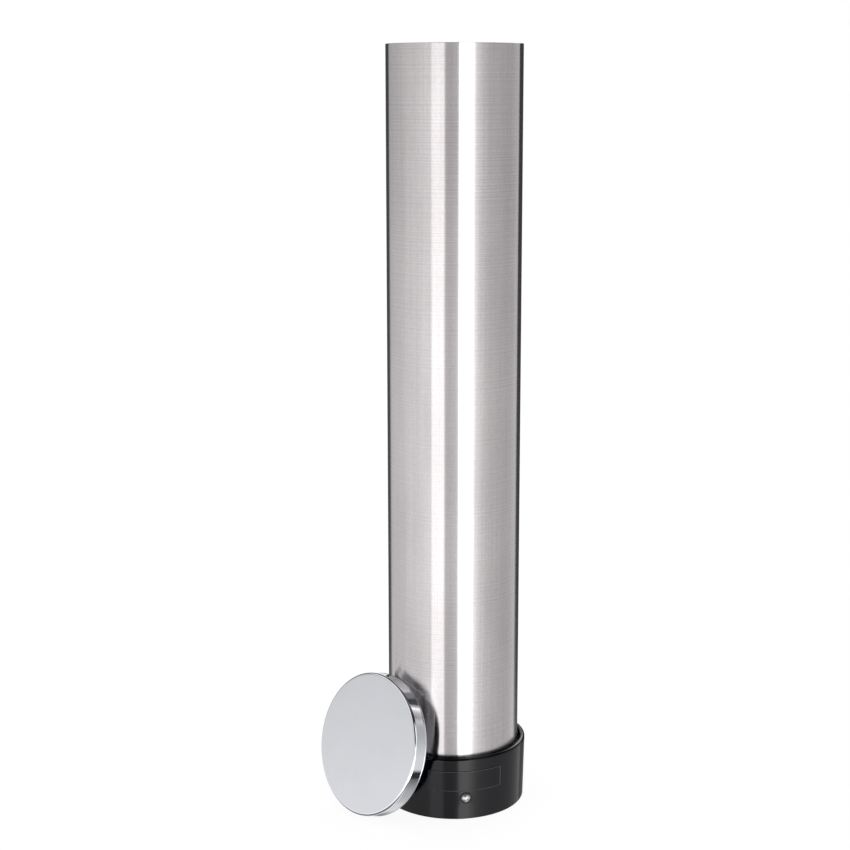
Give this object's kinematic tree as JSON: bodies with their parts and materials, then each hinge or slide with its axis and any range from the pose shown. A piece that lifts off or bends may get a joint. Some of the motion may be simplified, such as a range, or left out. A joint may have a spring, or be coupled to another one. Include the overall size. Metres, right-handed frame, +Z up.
{
  "type": "cup dispenser",
  "caption": "Tall brushed tube that holds a stack of cups above a black throat collar with screw-set fingers; its flat round cap leans beside it.",
  "frame": {"origin": "on the tube's axis, at the mouth of the throat, level with the foot of the collar", "axes": "+Z up the tube, -Y to the front with the label plate, +Y to the wall, +X to the dispenser's left-hand side as it faces out (the picture's right)"},
  "size_m": [0.1647, 0.1353, 0.597],
  "materials": {
    "tube_steel": "brushed round the tube",
    "collar_black": "gloss moulding",
    "throat_black": "satin moulding",
    "finger_grey": "satin moulding",
    "gasket_rubber": "matt",
    "washer_black": "matt",
    "label_black": "bare film with a fine pale outline",
    "rivet_metal": "plain",
    "screw_steel": "plain",
    "screw_bright": "bright",
    "spring_steel": "drawn wire",
    "insert_brass": "turned",
    "bracket_steel": "pressed sheet",
    "cap_chrome": "polished",
    "grip_black": "satin moulding"
  },
  "bodies": {
    "housing": {"tube": "tube_steel", "collar": "collar_black", "tube_gasket": "gasket_rubber", "tube_rivets": "rivet_metal", "throat_ring": "throat_black", "bottom_ring": "throat_black", "throat_screws": "screw_steel", "screw_inserts": "insert_brass", "finger_pins": "screw_steel", "finger_springs": "spring_steel", "label_plate": "label_black", "upper_bracket": "bracket_steel", "lower_bracket": "bracket_steel", "bracket_rivets": "rivet_metal"},
    "front_washer_body": {"front_washer": "washer_black"},
    "front_screw_body": {"front_screw": "screw_bright"},
    "front_finger_body": {"front_finger": "finger_grey"},
    "right_washer_body": {"right_washer": "washer_black"},
    "right_screw_body": {"right_screw": "screw_bright"},
    "right_finger_body": {"right_finger": "finger_grey"},
    "left_washer_body": {"left_washer": "washer_black"},
    "left_screw_body": {"left_screw": "screw_bright"},
    "left_finger_body": {"left_finger": "finger_grey"},
    "cap": {"cap_shell": "cap_chrome", "cap_grip_ring": "grip_black"}
  },
  "joints": [
    {"name": "front_screw_turn", "type": "hinge", "parent": "front_washer_body", "child": "front_screw_body", "pos_m": [0, -0.05681, 0.01798], "axis": [0, -1, 0], "range_deg": [0, 1440.1]},
    {"name": "front_screw_travel", "type": "slide", "parent": "housing", "child": "front_washer_body", "axis": [0, -1, 0], "range_m": [0, 0.0028]},
    {"name": "front_finger_swing", "type": "hinge", "parent": "housing", "child": "front_finger_body", "pos_m": [0, -0.0514, 0.02841], "axis": [1, 0, 0], "range_deg": [-15.72, 0]},
    {"name": "right_screw_turn", "type": "hinge", "parent": "right_washer_body", "child": "right_screw_body", "pos_m": [0.0492, 0.0284, 0.01798], "axis": [0.866, 0.5, 0], "range_deg": [0, 1440.1]},
    {"name": "right_screw_travel", "type": "slide", "parent": "housing", "child": "right_washer_body", "axis": [0.866, 0.5, 0], "range_m": [0, 0.0028]},
    {"name": "right_finger_swing", "type": "hinge", "parent": "housing", "child": "right_finger_body", "pos_m": [0.04451, 0.0257, 0.02841], "axis": [-0.5, 0.866, 0], "range_deg": [-15.72, 0]},
    {"name": "left_screw_turn", "type": "hinge", "parent": "left_washer_body", "child": "left_screw_body", "pos_m": [-0.0492, 0.0284, 0.01798], "axis": [-0.866, 0.5, 0], "range_deg": [0, 1440.1]},
    {"name": "left_screw_travel", "type": "slide", "parent": "housing", "child": "left_washer_body", "axis": [-0.866, 0.5, 0], "range_m": [0, 0.0028]},
    {"name": "left_finger_swing", "type": "hinge", "parent": "housing", "child": "left_finger_body", "pos_m": [-0.04451, 0.0257, 0.02841], "axis": [-0.5, -0.866, 0], "range_deg": [-15.72, 0]},
    {"name": "cap_lift", "type": "slide", "parent": "housing", "child": "cap", "axis": [0, 0, 1], "range_m": [0, 0.62]}
  ],
  "couplings": [
    {"joint": "front_screw_turn", "follows": "front_screw_travel", "rad_per_m": 8976},
    {"joint": "front_finger_swing", "follows": "front_screw_travel", "rad_per_m": -97.946},
    {"joint": "right_screw_turn", "follows": "right_screw_travel", "rad_per_m": 8976},
    {"joint": "right_finger_swing", "follows": "right_screw_travel", "rad_per_m": -97.946},
    {"joint": "left_screw_turn", "follows": "left_screw_travel", "rad_per_m": 8976},
    {"joint": "left_finger_swing", "follows": "left_screw_travel", "rad_per_m": -97.946}
  ]
}
